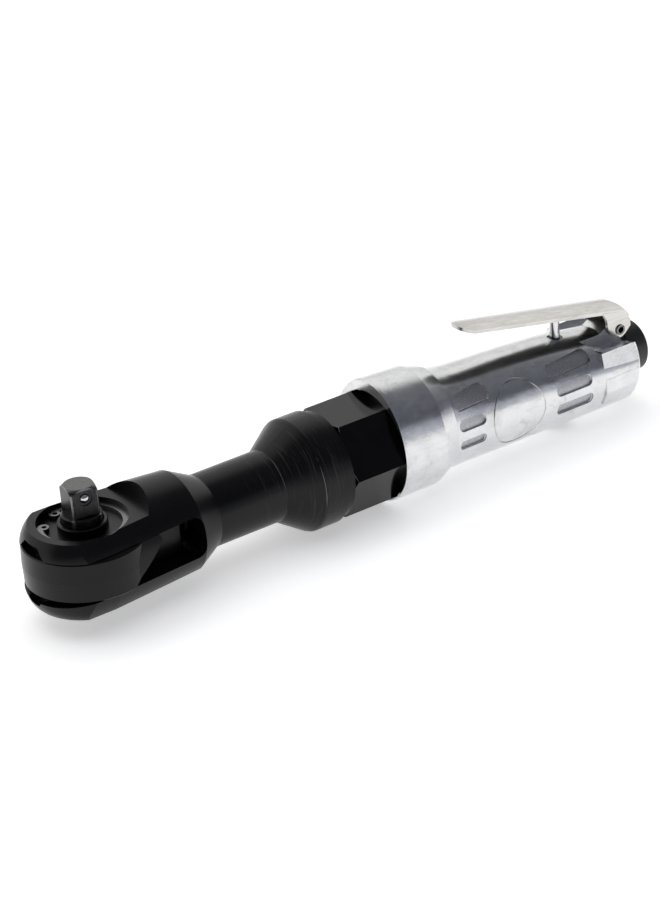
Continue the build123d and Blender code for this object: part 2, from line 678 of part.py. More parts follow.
with BuildPart() as needle_rollers:
    with BuildSketch(across(BEARING_X + 2)):
        with PolarLocations((SHELL_R + CRANK_SHAFT_R) / 2, 20):
            Circle((SHELL_R - CRANK_SHAFT_R) / 2 - 0.03)
    extrude(amount=BEARING_END_X - BEARING_X - 3)
    needle_rollers.part.label = "needle_rollers"
export_step(needle_rollers.part, "parts/needle_rollers.step")

with BuildPart() as crank_thrust_washer:
    revolve(ring_section(CARRIER_X + 0.1, FLANGE_X - 0.1, CRANK_SHAFT_R + 0.3, FLANGE_R), axis=TOOL_AXIS)
    crank_thrust_washer.part.label = "crank_thrust_washer"
export_step(crank_thrust_washer.part, "parts/crank_thrust_washer.step")

# ---- planetary gears ----------------------------------------------------------
GEAR_THICKNESS = pi * MODULE / 2 - BACKLASH
GEAR_TIP_R = MODULE * PLANET_TEETH / 2 + 0.62
GEAR_ROOT_R = MODULE * PLANET_TEETH / 2 - 1.0
FIRST_TOOTH = radians(PLANET_ANGLES[0])

with BuildPart() as ring_gear:
    revolve(ring_section(RING_X + 0.1, SPIGOT_END_X, 0, RING_SEAT_R - 0.03), axis=TOOL_AXIS)
    with BuildSketch(across(RING_X)):
        with BuildLine():
            Polyline(
                *gear_points(RING_TEETH, MODULE * RING_TEETH / 2 - 0.6, MODULE * RING_TEETH / 2 + 0.95,
                             pi * MODULE / 2, FIRST_TOOTH),
                close=True,
            )
        make_face()
    extrude(amount=SPIGOT_END_X - RING_X + 1, mode=Mode.SUBTRACT)
    ring_gear.part.label = "ring_gear"
export_step(ring_gear.part, "parts/ring_gear.step")

for number, angle in enumerate(PLANET_ANGLES, start=1):
    with BuildPart() as planet_gear:
        side, height = polar(PLANET_ORBIT_R, radians(angle))
        with BuildSketch(across(GEAR_X, height, side)):
            with BuildLine():
                Polyline(
                    *gear_points(PLANET_TEETH, GEAR_ROOT_R, GEAR_TIP_R, GEAR_THICKNESS, radians(angle)),
                    close=True,
                )
            make_face()
            Circle(PLANET_PIN_R + RUN_FIT, mode=Mode.SUBTRACT)
        extrude(amount=GEAR_END_X - GEAR_X - 0.3)
        planet_gear.part.label = f"planet_gear_{number}"
    export_step(planet_gear.part, f"parts/planet_gear_{number}.step")

with BuildPart() as planet_pins:
    with BuildSketch(across(FLANGE_X + 0.2)):
        for angle in PLANET_ANGLES:
            with Locations(polar(PLANET_ORBIT_R, radians(angle))):
                Circle(PLANET_PIN_R)
    extrude(amount=GEAR_END_X - FLANGE_X)
    planet_pins.part.label = "planet_pins"
export_step(planet_pins.part, "parts/planet_pins.step")

with BuildPart() as gear_spacer:
    revolve(ring_section(SPIGOT_END_X + 0.1, PLATE_X - 0.1, GEAR_TIP_R + 0.4, MOTOR_R - 0.1), axis=TOOL_AXIS)
    gear_spacer.part.label = "gear_spacer"
export_step(gear_spacer.part, "parts/gear_spacer.step")

# ---- clamp nut ----------------------------------------------------------------
with BuildPart() as clamp_nut:
    with BuildSketch(across(NUT_X)):
        RegularPolygon(NUT_FLATS / 2, 6, major_radius=False)
    extrude(amount=NUT_END_X - NUT_X)
    nut_corner_r = NUT_FLATS / 2 / cos(pi / 6)
    revolve(
        outline(
            (NUT_X, 0), (NUT_X, nut_corner_r - 1.5), (NUT_X + 0.9, nut_corner_r), (NUT_END_X - 0.8, nut_corner_r),
            (NUT_END_X, nut_corner_r - 1.5), (NUT_END_X, 0),
        ),
        axis=TOOL_AXIS,
        mode=Mode.INTERSECT,
    )
    revolve(ring_section(NUT_END_X - 1, NUT_THREAD_END_X, 0, NUT_THREAD_R - 0.1), axis=TOOL_AXIS)
    for x_from, x_to, radius in (
        (NUT_X - 1, SPIGOT_END_X + 0.1, SPIGOT_R + 0.05),
        (SPIGOT_END_X, NUT_THREAD_END_X + 1, MOTOR_R),
    ):
        revolve(ring_section(x_from, x_to, 0, radius), axis=TOOL_AXIS, mode=Mode.SUBTRACT)
    clamp_nut.part.label = "clamp_nut"
export_step(clamp_nut.part, "parts/clamp_nut.step")


def ball_bearing(label, x_from, x_to, bore_r, outer_r, balls):
    """Deep-groove bearing: two rings and a full set of balls, all clear of each other."""
    pitch_r = (bore_r + outer_r) / 2
    ball_r = 0.28 * (outer_r - bore_r)
    with BuildPart() as bearing:
        revolve(ring_section(x_from, x_to, bore_r, pitch_r - 0.62 * ball_r), axis=TOOL_AXIS)
        revolve(ring_section(x_from, x_to, pitch_r + 0.62 * ball_r, outer_r), axis=TOOL_AXIS)
        with BuildSketch(lengthwise()):
            with Locations(((x_from + x_to) / 2, pitch_r)):
                Circle(ball_r + 0.03)
        revolve(axis=TOOL_AXIS, mode=Mode.SUBTRACT)
        with Locations(across((x_from + x_to) / 2)):
            with PolarLocations(pitch_r, balls):
                Sphere(ball_r)
        bearing.part.label = label
    export_step(bearing.part, f"parts/{label}.step")


# ---- motor --------------------------------------------------------------------
ball_bearing("front_bearing", PLATE_X + 0.3, PLATE_X + 5.3, ROTOR_FRONT_R + RUN_FIT, FRONT_POCKET_R, 9)
ball_bearing("rear_bearing", PLATE_END_X - 4.4, PLATE_END_X - 0.4, ROTOR_REAR_R + RUN_FIT, REAR_POCKET_R, 8)

with BuildPart() as front_end_plate:
    revolve(
        outline(
            (PLATE_X, FRONT_POCKET_R), (PLATE_X, MOTOR_R - 0.05), (CYLINDER_X - 0.05, MOTOR_R - 0.05),
            (CYLINDER_X - 0.05, ROTOR_FRONT_R + 0.3), (PLATE_X + 5.4, ROTOR_FRONT_R + 0.3),
            (PLATE_X + 5.4, FRONT_POCKET_R),
        ),
        axis=TOOL_AXIS,
    )
    with BuildSketch(across(CYLINDER_X, DOWEL_H)):
        Circle(DOWEL_R)
    extrude(amount=-4, mode=Mode.SUBTRACT)
    front_end_plate.part.label = "front_end_plate"
export_step(front_end_plate.part, "parts/front_end_plate.step")

with BuildPart() as rear_end_plate:
    revolve(
        outline(
            (CYLINDER_END_X + 0.05, ROTOR_REAR_R + 0.3), (CYLINDER_END_X + 0.05, MOTOR_R - 0.05),
            (PLATE_END_X, MOTOR_R - 0.05), (PLATE_END_X, REAR_POCKET_R), (PLATE_END_X - 4.5, REAR_POCKET_R),
            (PLATE_END_X - 4.5, ROTOR_REAR_R + 0.3),
        ),
        axis=TOOL_AXIS,
    )
    with BuildSketch(across(CYLINDER_END_X, DOWEL_H)):
        Circle(DOWEL_R)
    extrude(amount=3, mode=Mode.SUBTRACT)
    # air inlet and exhaust ports
    with BuildSketch(across(CYLINDER_END_X)):
        for angle in (40, 55, 70):
            with Locations(polar(10.0, radians(angle))):
                Circle(1.1)
        for angle in (200, 215, 325, 340):
            with Locations(polar(11.2, radians(angle))):
                Circle(1.1)
    extrude(amount=PLATE_END_X - CYLINDER_END_X + 1, mode=Mode.SUBTRACT)
    rear_end_plate.part.label = "rear_end_plate"
export_step(rear_end_plate.part, "parts/rear_end_plate.step")

with BuildPart() as motor_cylinder:
    revolve(ring_section(CYLINDER_X, CYLINDER_END_X, 0, MOTOR_R - 0.05), axis=TOOL_AXIS)
    # the bore is offset upwards, which leaves the working chamber
    with BuildSketch(across(CYLINDER_X - 1, CYLINDER_OFFSET)):
        Circle(CYLINDER_BORE_R)
    extrude(amount=CYLINDER_END_X - CYLINDER_X + 2, mode=Mode.SUBTRACT)
    with BuildSketch(across(CYLINDER_X - 1, DOWEL_H)):
        Circle(DOWEL_R)
    extrude(amount=CYLINDER_END_X - CYLINDER_X + 2, mode=Mode.SUBTRACT)
    # rows of exhaust holes through the thick side of the wall
    for x in (121, 127, 133, 139):
        with BuildSketch(level(-MOTOR_R - 1)):
            with Locations((x, -5.5), (x, 5.5)):
                Circle(1.2)
        extrude(amount=MOTOR_R + 1, mode=Mode.SUBTRACT)
    motor_cylinder.part.label = "motor_cylinder"
export_step(motor_cylinder.part, "parts/motor_cylinder.step")

with BuildPart() as cylinder_dowel:
    with BuildSketch(across(CYLINDER_X - 3.8, DOWEL_H)):
        Circle(DOWEL_R)
    extrude(amount=CYLINDER_END_X - CYLINDER_X + 6.6)
    cylinder_dowel.part.label = "cylinder_dowel"
export_step(cylinder_dowel.part, "parts/cylinder_dowel.step")

with BuildPart() as rotor:
    revolve(
        outline(
            (SPIGOT_END_X, 0), (SPIGOT_END_X, ROTOR_FRONT_R), (CYLINDER_X + 0.3, ROTOR_FRONT_R),
            (CYLINDER_X + 0.3, ROTOR_R), (CYLINDER_END_X - 0.3, ROTOR_R), (CYLINDER_END_X - 0.3, ROTOR_REAR_R),
            (PLATE_END_X - 0.6, ROTOR_REAR_R), (PLATE_END_X - 0.6, 0),
        ),
        axis=TOOL_AXIS,
    )
    # pinion cut on the front shaft
    with BuildSketch(across(GEAR_X)):
        with BuildLine():
            Polyline(
                *gear_points(SUN_TEETH, GEAR_ROOT_R, GEAR_TIP_R, GEAR_THICKNESS, FIRST_TOOTH), close=True
            )
        make_face()
    extrude(amount=SPIGOT_END_X - GEAR_X + 0.5)
    # vane slots
    for vane in range(VANES):
        with BuildSketch(across(CYLINDER_X, 0)):
            with PolarLocations(ROTOR_R, 1, start_angle=90 + 360 / VANES * vane):
                Rectangle(2 * VANE_DEEP, VANE_THICK)
        extrude(amount=CYLINDER_END_X - CYLINDER_X, mode=Mode.SUBTRACT)
    rotor.part.label = "rotor"
export_step(rotor.part, "parts/rotor.step")

with BuildPart() as rotor_vanes:
    with BuildSketch(across(CYLINDER_X + 0.4)):
        with PolarLocations(ROTOR_R - VANE_DEEP / 2, VANES, start_angle=90):
            Rectangle(VANE_DEEP - 0.2, VANE_THICK - 0.1)
    extrude(amount=CYLINDER_END_X - CYLINDER_X - 0.8)
    rotor_vanes.part.label = "rotor_vanes"
export_step(rotor_vanes.part, "parts/rotor_vanes.step")

# ---- grip ---------------------------------------------------------------------
# Stations along the grip: x, half width, height of the crown, depth of the belly.
BELL_STATIONS = (
    (GRIP_X, LIP_R - 0.35, LIP_CROWN - 0.35, LIP_R - 0.35),
    (GRIP_X + 0.9, LIP_R, LIP_CROWN, LIP_R),
    (BELL_LOFT_X, LIP_R, 23.0, LIP_R),
    (HANDLE_X, 17.7, 21.0, 17.1),
)
HANDLE_STATIONS = (
    (HANDLE_X, 17.7, 21.0, 17.1),
    (152.0, 17.6, 17.2, 17.2),
    (166.0, 17.5, 16.4, 17.4),
    (180.0, 17.5, 15.5, 17.6),
    (194.0, 17.5, 14.2, 17.8),
    (208.0, 17.5, 12.4, 17.8),
    (GRIP_END_X, 17.4, 11.8, 17.8),
)


def oval(x, half_width, crown, belly):
    """Grip section: half an ellipse over half an ellipse, sharing one width."""
    with BuildSketch(across(x)) as sketch:
        with BuildLine():
            EllipticalCenterArc((0, 0), half_width, crown, start_angle=0, arc_size=180)
            EllipticalCenterArc((0, 0), half_width, belly, start_angle=180, arc_size=180)
        make_face()
    return sketch.sketch


def grip_body(inset):
    """Lofted grip, drawn in by an inset all round."""
    with BuildPart() as body:
        for stations, straight in ((BELL_STATIONS, True), (HANDLE_STATIONS, False)):
            loft(
                [oval(x, half_width - inset, crown - inset, belly - inset)
                 for x, half_width, crown, belly in stations],
                ruled=straight,
            )
    return body.part


def side_plane(side, distance):
    """Upright plane on one flank, facing outwards; local x is +X on either side, local y is +Z."""
    return Plane(origin=(0, side * distance, -AXIS_DROP), x_dir=(1, 0, 0), z_dir=(0, side, 0))


# Everything inside the rounded tail.
with BuildPart() as tail_limit:
    with BuildSketch(lengthwise()):
        with BuildLine():
            corner_r = 18.3 - TAIL_ROUND
            Polyline((GRIP_X - 1, 0), (GRIP_X - 1, 26), (GRIP_END_X - TAIL_ROUND - 5, 26),
                     (GRIP_END_X - TAIL_ROUND - 5, 18.3), (GRIP_END_X - TAIL_ROUND, 18.3))
            RadiusArc((GRIP_END_X - TAIL_ROUND, 18.3), (GRIP_END_X, corner_r), TAIL_ROUND)
            Polyline((GRIP_END_X, corner_r), (GRIP_END_X, 0), (GRIP_X - 1, 0))
        make_face()
    revolve(axis=TOOL_AXIS)

# Recesses in both flanks: slots cut into the lofted surface to a constant depth.
with BuildPart() as flank_recesses:
    for side in (-1, 1):
        with BuildSketch(side_plane(side, 7.5)):
            for x_from, x_to, low, high in FLANK_SLOTS:
                with Locations(((x_from + x_to) / 2, side * -(low + high) / 2)):
                    RectangleRounded(x_to - x_from, high - low, SLOT_ROUND * (high - low))
        extrude(amount=20)
    add(grip_body(SLOT_DEEP), mode=Mode.SUBTRACT)

with BuildPart() as flank_discs:
    for side in (-1, 1):
        with BuildSketch(side_plane(side, 7.5)):
            with Locations((DISC_X, side * -DISC_H)):
                Circle(DISC_R)
                Circle(DISC_R - DISC_LINE, mode=Mode.SUBTRACT)
        extrude(amount=20)
    add(grip_body(DISC_DEEP), mode=Mode.SUBTRACT)

with BuildPart() as tail_pads:
    for side in (-1, 1):
        with BuildSketch(across(PAD_X)):
            with BuildLine():
                Polyline(
                    (0, PAD_HIGH), (side * PAD_HIGH_HALF, PAD_HIGH), (side * PAD_HALF, 0),
                    (side * PAD_HALF, -5.0), (side * PAD_HIGH_HALF, -10.2), (0, -10.2), close=True,
                )
            make_face()
        extrude(amount=GRIP_END_X - PAD_X)

# Scoops either side of the lever's rib: each slopes in from the front and rises again to the flank.
with BuildPart() as tail_scoops:
    for side in (-1, 1):
        with BuildSketch(level(0)) as scoop_plan:
            with BuildLine():
                Polyline(
                    (SCOOP_X, side * 6.6), (213.0, side * RIB_HALF), (TAIL_X, side * RIB_HALF),
                    (TAIL_X, side * 20), (206.0, side * 20), (205.2, side * 13.2), close=True,
                )
            make_face()
            fillet(scoop_plan.vertices().sort_by(Axis.X)[1], 5)
        extrude(amount=30)
    with BuildSketch(across(SCOOP_X - 1)):
        for side in (-1, 1):
            with BuildLine():
                Polyline((side * 7.5, SCOOP_FLOOR), (0, SCOOP_FLOOR), (0, 40), (side * 21, 40),
                         (side * 21, PAD_HIGH), (side * PAD_HIGH_HALF, PAD_HIGH))
                ThreePointArc((side * PAD_HIGH_HALF, PAD_HIGH), (side * 11.7, SCOOP_FLOOR + 0.9),
                              (side * 7.5, SCOOP_FLOOR))
            make_face()
    extrude(amount=TAIL_X - SCOOP_X + 2, mode=Mode.INTERSECT)
    with BuildSketch(lengthwise()):
        with BuildLine():
            Polyline((SCOOP_X - 2, 12.0), (212.0, SCOOP_FLOOR - 0.1), (TAIL_X + 1, SCOOP_FLOOR - 0.1),
                     (TAIL_X + 1, 30), (SCOOP_X - 2, 30), close=True)
        make_face()
    extrude(amount=30, both=True, mode=Mode.INTERSECT)

with BuildPart() as motor_housing:
    add(grip_body(0))
    add(tail_pads.part)
    add(tail_limit.part, mode=Mode.INTERSECT)
    # rib that carries the lever's pin
    with BuildSketch(lengthwise()):
        with BuildLine():
            Polyline(
                (212.0, 6), (212.4, 11.6), (216.4, LEVER_PIN_H + RIB_R), (LEVER_PIN_X, LEVER_PIN_H + RIB_R),
                (GRIP_END_X, LEVER_PIN_H), (GRIP_END_X, 6), close=True,
            )
        make_face()
        with Locations((LEVER_PIN_X, LEVER_PIN_H)):
            Circle(RIB_R)
    extrude(amount=RIB_HALF, both=True)
    add(tail_scoops.part, mode=Mode.SUBTRACT)
    add(flank_recesses.part, mode=Mode.SUBTRACT)
    add(flank_discs.part, mode=Mode.SUBTRACT)
    # nut recess, thread, motor bore, inlet bore and its shoulder
    for x_from, x_to, radius in (
        (GRIP_X - 1, GRIP_X + LIP_DEEP, LIP_BORE_R),
        (GRIP_X, NUT_THREAD_END_X + 0.3, NUT_THREAD_R),
        (GRIP_X, PLATE_END_X + 0.2, MOTOR_R),
        (INLET_X, TAIL_X, INLET_BODY_R + 0.05),
        (VALVE_X, INLET_X + 1, INLET_PORT_R),
    ):
        revolve(ring_section(x_from, x_to, 0, radius), axis=TOOL_AXIS, mode=Mode.SUBTRACT)
    # throttle valve bore, from the plug's thread up to the bushing's seat
    for bottom, top, radius in (
        (-25, PLUG_TOP, PLUG_R + 0.05),
        (PLUG_TOP - 1, SEAT_H, CHAMBER_R),
        (SEAT_H - 1, BUSHING_BOTTOM, SEAT_R),
        (BUSHING_BOTTOM, 25, BUSHING_R),
    ):
        revolve(upright_section(bottom, top, 0, radius, VALVE_X), axis=VALVE_AXIS, mode=Mode.SUBTRACT)
    # air passage to the motor and the two exhaust passages
    with BuildSketch(across(PLATE_END_X, SEAT_H + 1)):
        Circle(1.5)
    extrude(amount=VALVE_X - PLATE_END_X, mode=Mode.SUBTRACT)
    for side in (-1, 1):
        with BuildSketch(across(PLATE_END_X, EXHAUST_H, side * EXHAUST_Y)):
            Circle(1.5)
        extrude(amount=GRIP_END_X - PLATE_END_X + 1, mode=Mode.SUBTRACT)
    # pin hole through the rib
    with BuildSketch(lengthwise()):
        with Locations((LEVER_PIN_X, LEVER_PIN_H)):
            Circle(LEVER_PIN_R)
    extrude(amount=20, both=True, mode=Mode.SUBTRACT)
    motor_housing.part.label = "motor_housing"
export_step(motor_housing.part, "parts/motor_housing.step")

# ---- throttle lever -----------------------------------------------------------
with BuildPart() as throttle_lever:
    # crowned strip swept from the tip to the curled rear end
    with BuildLine(lengthwise()) as lever_path:
        shank = Line((LEVER_TIP_X, LEVER_TIP_H), (LEVER_BEND_X, LEVER_BEND_H))
        JernArc(shank @ 1, shank % 1, LEVER_CURL_R, -LEVER_CURL)
    with BuildSketch(Plane(origin=shank @ 0, x_dir=(0, 1, 0), z_dir=shank % 0)):
        with BuildLine():
            ThreePointArc((-LEVER_HALF, -LEVER_CROWN), (0, 0), (LEVER_HALF, -LEVER_CROWN))
            Line((LEVER_HALF, -LEVER_CROWN), (LEVER_HALF, -LEVER_CROWN - LEVER_THICK))
            ThreePointArc((LEVER_HALF, -LEVER_CROWN - LEVER_THICK), (0, -LEVER_THICK),
                          (-LEVER_HALF, -LEVER_CROWN - LEVER_THICK))
            Line((-LEVER_HALF, -LEVER_CROWN - LEVER_THICK), (-LEVER_HALF, -LEVER_CROWN))
        make_face()
    sweep(path=lever_path.line)
    # rounded tip and slightly narrowing plan
    with BuildSketch(level(0)):
        with BuildLine():
            Polyline(
                (LEVER_TIP_X + LEVER_TIP_HALF, -LEVER_TIP_HALF), (LEVER_BEND_X, -LEVER_HALF),
                (TAIL_X, -LEVER_HALF), (TAIL_X, LEVER_HALF), (LEVER_BEND_X, LEVER_HALF),
                (LEVER_TIP_X + LEVER_TIP_HALF, LEVER_TIP_HALF),
            )
            CenterArc((LEVER_TIP_X + LEVER_TIP_HALF, 0), LEVER_TIP_HALF, 90, 180)
        make_face()
    extrude(amount=50, mode=Mode.INTERSECT)
    # folded ears
    for side in (-1, 1):
        with BuildSketch(lengthwise(side * LEVER_HALF)):
            with BuildLine():
                Polyline(
                    (212.6, 19.5), (214.4, 16.4), (214.9, 12.6), (216.2, 10.4), (218.4, 8.7), (222.4, 8.7),
                    (225.2, 11.2), (225.2, 13.8), (224.2, 15.0), (222.8, 16.9), (220.7, 18.0), close=True,
                )
            make_face()
            with Locations((LEVER_PIN_X, LEVER_PIN_H)):
                Circle(EAR_R)
                Circle(LEVER_PIN_R + RUN_FIT, mode=Mode.SUBTRACT)
        extrude(amount=side * LEVER_THICK)
    throttle_lever.part.label = "throttle_lever"
export_step(throttle_lever.part, "parts/throttle_lever.step")

with BuildPart() as lever_pin:
    with BuildSketch(lengthwise(-LEVER_HALF - 0.5)):
        with Locations((LEVER_PIN_X, LEVER_PIN_H)):
            Circle(LEVER_PIN_R)
            Circle(LEVER_PIN_R - 0.7, mode=Mode.SUBTRACT)
            with Locations((1.2, 1.2)):
                Rectangle(2.4, 0.5, rotation=45, mode=Mode.SUBTRACT)
    extrude(amount=-2 * LEVER_HALF - 1)
    lever_pin.part.label = "lever_pin"
export_step(lever_pin.part, "parts/lever_pin.step")

# ---- throttle valve -----------------------------------------------------------
with BuildPart() as valve_stem:
    revolve(
        outline(
            (VALVE_X, VALVE_TOP), (VALVE_X + STEM_R, VALVE_TOP), (VALVE_X + STEM_R, STEM_END - 0.8),
            (VALVE_X + STEM_R - 0.8, STEM_END), (VALVE_X, STEM_END),
        ),
        axis=VALVE_AXIS,
    )
    valve_stem.part.label = "valve_stem"
export_step(valve_stem.part, "parts/valve_stem.step")

with BuildPart() as valve_bushing:
    revolve(
        outline(
            (VALVE_X + STEM_R + RUN_FIT, BUSHING_BOTTOM), (VALVE_X + BUSHING_R, BUSHING_BOTTOM),
            (VALVE_X + BUSHING_R, BUSHING_TOP - 0.3), (VALVE_X + BUSHING_R - 0.3, BUSHING_TOP),
            (VALVE_X + STEM_R + RUN_FIT, BUSHING_TOP),
        ),
        axis=VALVE_AXIS,
    )
    valve_bushing.part.label = "valve_bushing"
export_step(valve_bushing.part, "parts/valve_bushing.step")

with BuildPart() as stem_seal:
    with BuildSketch(lengthwise()):
        with Locations((VALVE_X + STEM_R + 0.33, BUSHING_BOTTOM - 0.6)):
            Circle(0.3)
    revolve(axis=VALVE_AXIS)
    stem_seal.part.label = "stem_seal"
export_step(stem_seal.part, "parts/stem_seal.step")

with BuildPart() as valve_body:
    revolve(
        outline(
            (VALVE_X, VALVE_TOP - 2.9), (VALVE_X + 2.0, VALVE_TOP - 2.9), (VALVE_X + 2.0, VALVE_TOP - 2.2),
            (VALVE_X + CHAMBER_R - 0.5, VALVE_TOP - 2.2), (VALVE_X + CHAMBER_R - 0.5, VALVE_TOP - 1.0),
            (VALVE_X + 2.4, VALVE_TOP), (VALVE_X, VALVE_TOP),
        ),
        axis=VALVE_AXIS,
    )
    valve_body.part.label = "valve_body"
export_step(valve_body.part, "parts/valve_body.step")

coil_spring(
    "valve_spring", 0.35, 1.9, VALVE_TOP - 2.2 - PLUG_TOP - 0.9, 2.75,
    Plane(origin=(VALVE_X, 0, PLUG_TOP + 0.45 - AXIS_DROP)),
)

with BuildPart() as valve_plug:
    revolve(upright_section(PLUG_BOTTOM, PLUG_TOP, 0, PLUG_R, VALVE_X), axis=VALVE_AXIS)
    with BuildSketch(level(PLUG_BOTTOM)):
        with Locations((VALVE_X, 0)):
            RegularPolygon(2.5, 6)
    extrude(amount=3, mode=Mode.SUBTRACT)
    valve_plug.part.label = "valve_plug"
export_step(valve_plug.part, "parts/valve_plug.step")

# ---- air inlet and exhaust ----------------------------------------------------
with BuildPart() as inlet_bushing:
    revolve(
        outline(
            (INLET_X + 0.7, INLET_PORT_R), (INLET_X + 0.7, INLET_BODY_R), (FLANGE_SEAT_X, INLET_BODY_R),
            (FLANGE_SEAT_X, INLET_FLANGE_R), (TAIL_X, INLET_FLANGE_R), (TAIL_X, INLET_BORE_R + 0.6),
            (TAIL_X - 0.6, INLET_BORE_R), (INLET_STEP_X, INLET_BORE_R), (INLET_STEP_X, SCREEN_R),
            (INLET_STEP_X - SCREEN_THICK - GAP, SCREEN_R), (INLET_STEP_X - SCREEN_THICK - GAP, INLET_PORT_R),
        ),
        axis=TOOL_AXIS,
    )
    inlet_bushing.part.label = "inlet_bushing"
export_step(inlet_bushing.part, "parts/inlet_bushing.step")

with BuildPart() as inlet_screen:
    with BuildSketch(across(INLET_STEP_X - SCREEN_THICK - GAP)):
        Circle(SCREEN_R)
        with GridLocations(1.5, 1.5, 5, 5):
            Circle(0.5, mode=Mode.SUBTRACT)
    extrude(amount=SCREEN_THICK)
    inlet_screen.part.label = "inlet_screen"
export_step(inlet_screen.part, "parts/inlet_screen.step")

with BuildPart() as inlet_seal:
    revolve(ring_section(INLET_X, INLET_X + 0.7, INLET_PORT_R + 0.2, INLET_BODY_R), axis=TOOL_AXIS)
    inlet_seal.part.label = "inlet_seal"
export_step(inlet_seal.part, "parts/inlet_seal.step")

with BuildPart() as exhaust_deflector:
    revolve(
        outline(
            (DEFLECTOR_X, INLET_BODY_R + 0.1), (DEFLECTOR_X, MUFFLER_INNER_R - 0.1),
            (MUFFLER_X, MUFFLER_INNER_R - 0.1), (MUFFLER_X, MUFFLER_R + 0.1), (DEFLECTOR_X, MUFFLER_R + 0.1),
            (DEFLECTOR_X, DEFLECTOR_R - 0.3), (DEFLECTOR_X + 0.3, DEFLECTOR_R), (TAIL_X - 0.9, DEFLECTOR_R),
            (TAIL_X - 0.1, DEFLECTOR_R - 0.8), (TAIL_X - 0.1, INLET_FLANGE_R + 0.1),
            (FLANGE_SEAT_X - 0.1, INLET_FLANGE_R + 0.1), (FLANGE_SEAT_X - 0.1, INLET_BODY_R + 0.1),
        ),
        axis=TOOL_AXIS,
    )
    # exhaust windows through the lower rim
    for angle in range(210, 331, 24):
        with BuildSketch(Plane(
            origin=(0, 0, -AXIS_DROP), x_dir=(1, 0, 0), z_dir=(0, cos(radians(angle)), sin(radians(angle)))
        )):
            with Locations(((DEFLECTOR_X + MUFFLER_X) / 2 + 0.2, 0)):
                Rectangle(1.8, 2.6)
        extrude(amount=DEFLECTOR_R + 2, mode=Mode.SUBTRACT)
    exhaust_deflector.part.label = "exhaust_deflector"
export_step(exhaust_deflector.part, "parts/exhaust_deflector.step")

with BuildPart() as muffler:
    revolve(ring_section(DEFLECTOR_X + 0.1, MUFFLER_X - 0.1, MUFFLER_INNER_R, MUFFLER_R), axis=TOOL_AXIS)
    muffler.part.label = "muffler"
export_step(muffler.part, "parts/muffler.step")
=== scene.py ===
"""Looks for the air ratchet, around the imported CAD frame.  Metres."""

import json
from math import cos, pi, radians, sin

import bpy
from mathutils import Matrix, Vector


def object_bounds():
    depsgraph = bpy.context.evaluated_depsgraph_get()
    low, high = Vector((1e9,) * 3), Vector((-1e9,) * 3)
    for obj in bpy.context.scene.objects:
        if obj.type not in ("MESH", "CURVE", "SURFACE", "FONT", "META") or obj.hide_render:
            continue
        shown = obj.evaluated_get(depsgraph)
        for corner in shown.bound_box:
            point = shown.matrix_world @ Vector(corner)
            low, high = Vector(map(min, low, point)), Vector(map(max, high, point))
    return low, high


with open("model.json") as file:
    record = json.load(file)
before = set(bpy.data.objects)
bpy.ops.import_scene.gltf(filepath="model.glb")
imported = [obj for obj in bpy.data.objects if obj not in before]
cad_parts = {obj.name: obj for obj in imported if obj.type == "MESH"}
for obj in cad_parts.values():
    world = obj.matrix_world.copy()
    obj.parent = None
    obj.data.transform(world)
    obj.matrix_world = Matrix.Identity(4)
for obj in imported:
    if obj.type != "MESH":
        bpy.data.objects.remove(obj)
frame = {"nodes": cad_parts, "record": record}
cad_box = [list(corner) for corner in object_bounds()]
nodes = frame["nodes"]

MM = 0.001
AXIS_Z = -16.5 * MM     # height of the tool axis; the square's shoulder is at 0


# ---- camera -----------------------------------------------------------------
AZIMUTH = radians(33.58)
ELEVATION = radians(26.81)
ROLL = radians(-4.58)
CAMERA_AT = Vector((-0.37665, -0.71316, 0.42018))
LENS = 113.59
SENSOR = 36


def place_camera():
    back = Vector((
        -sin(AZIMUTH) * cos(ELEVATION), -cos(AZIMUTH) * cos(ELEVATION), sin(ELEVATION),
    ))
    level_right = Vector((cos(AZIMUTH), -sin(AZIMUTH), 0))
    level_up = back.cross(level_right)
    right = cos(ROLL) * level_right + sin(ROLL) * level_up
    up = -sin(ROLL) * level_right + cos(ROLL) * level_up
    data = bpy.data.cameras.new("camera")
    data.lens = LENS
    data.sensor_width = SENSOR
    data.sensor_fit = "AUTO"
    data.clip_start = 0.01
    data.clip_end = 20
    camera = bpy.data.objects.new("camera", data)
    rotation = Matrix((right, up, back)).transposed().to_4x4()
    camera.matrix_world = Matrix.Translation(CAMERA_AT) @ rotation
    bpy.context.scene.collection.objects.link(camera)
    bpy.context.scene.camera = camera


# ---- node helpers -----------------------------------------------------------
def opaque(colour):
    return (*colour, 1)


def fill_ramp(ramp, stops):
    """Gives a colour ramp its stops: a place from 0 to 1 and the colour there."""
    while len(ramp.elements) < len(stops):
        ramp.elements.new(0.5)
    for element, (at, colour) in zip(ramp.elements, stops):
        element.position = at
        element.color = opaque(colour)


